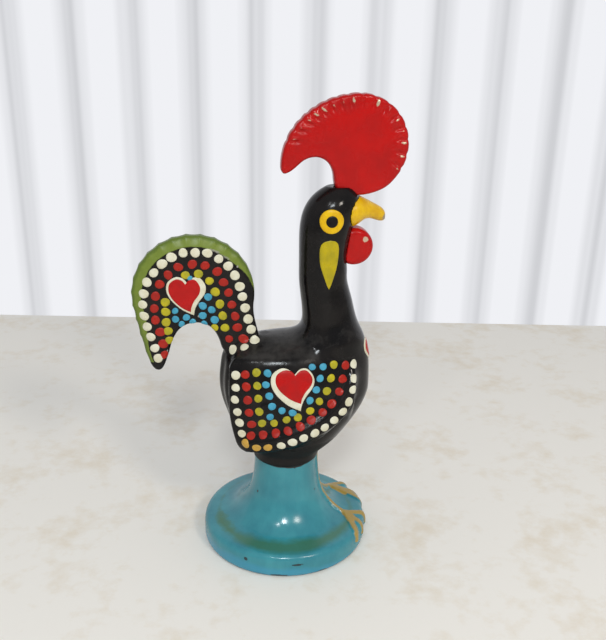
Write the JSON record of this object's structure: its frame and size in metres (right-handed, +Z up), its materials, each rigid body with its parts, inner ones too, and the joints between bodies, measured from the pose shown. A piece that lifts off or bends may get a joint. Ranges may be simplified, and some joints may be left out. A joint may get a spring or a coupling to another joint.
{
  "type": "rooster figurine",
  "caption": "Hand-painted cast metal folk rooster standing on a flared round pedestal, with a tall comb, a sickle tail and dotted wings.",
  "frame": {"origin": "centre of the pedestal's flat underside, on the surface it stands on", "axes": "+Z up, +X towards the beak, +Y to the bird's left; the bird's mirror plane is y = 0"},
  "size_m": [0.0703, 0.0462, 0.1246],
  "materials": {
    "body_enamel": "gloss black enamel with hand-dotted ornament",
    "pedestal_enamel": "gloss turquoise enamel",
    "comb_enamel": "gloss red enamel",
    "beak_enamel": "gloss yellow enamel",
    "plated_steel": "zinc plated"
  },
  "bodies": {
    "root": {"pedestal": "pedestal_enamel", "pedestal_screw": "plated_steel", "screw_washer": "plated_steel", "captive_nut": "plated_steel", "body_shell_right": "body_enamel", "body_shell_left": "body_enamel", "shell_dowels": "plated_steel", "tail_plate": "body_enamel", "tail_pin": "plated_steel", "comb_plate": "comb_enamel", "comb_pin": "plated_steel", "beak": "beak_enamel", "wattle": "comb_enamel", "wing_right": "body_enamel", "wing_left": "body_enamel"}
  },
  "joints": []
}
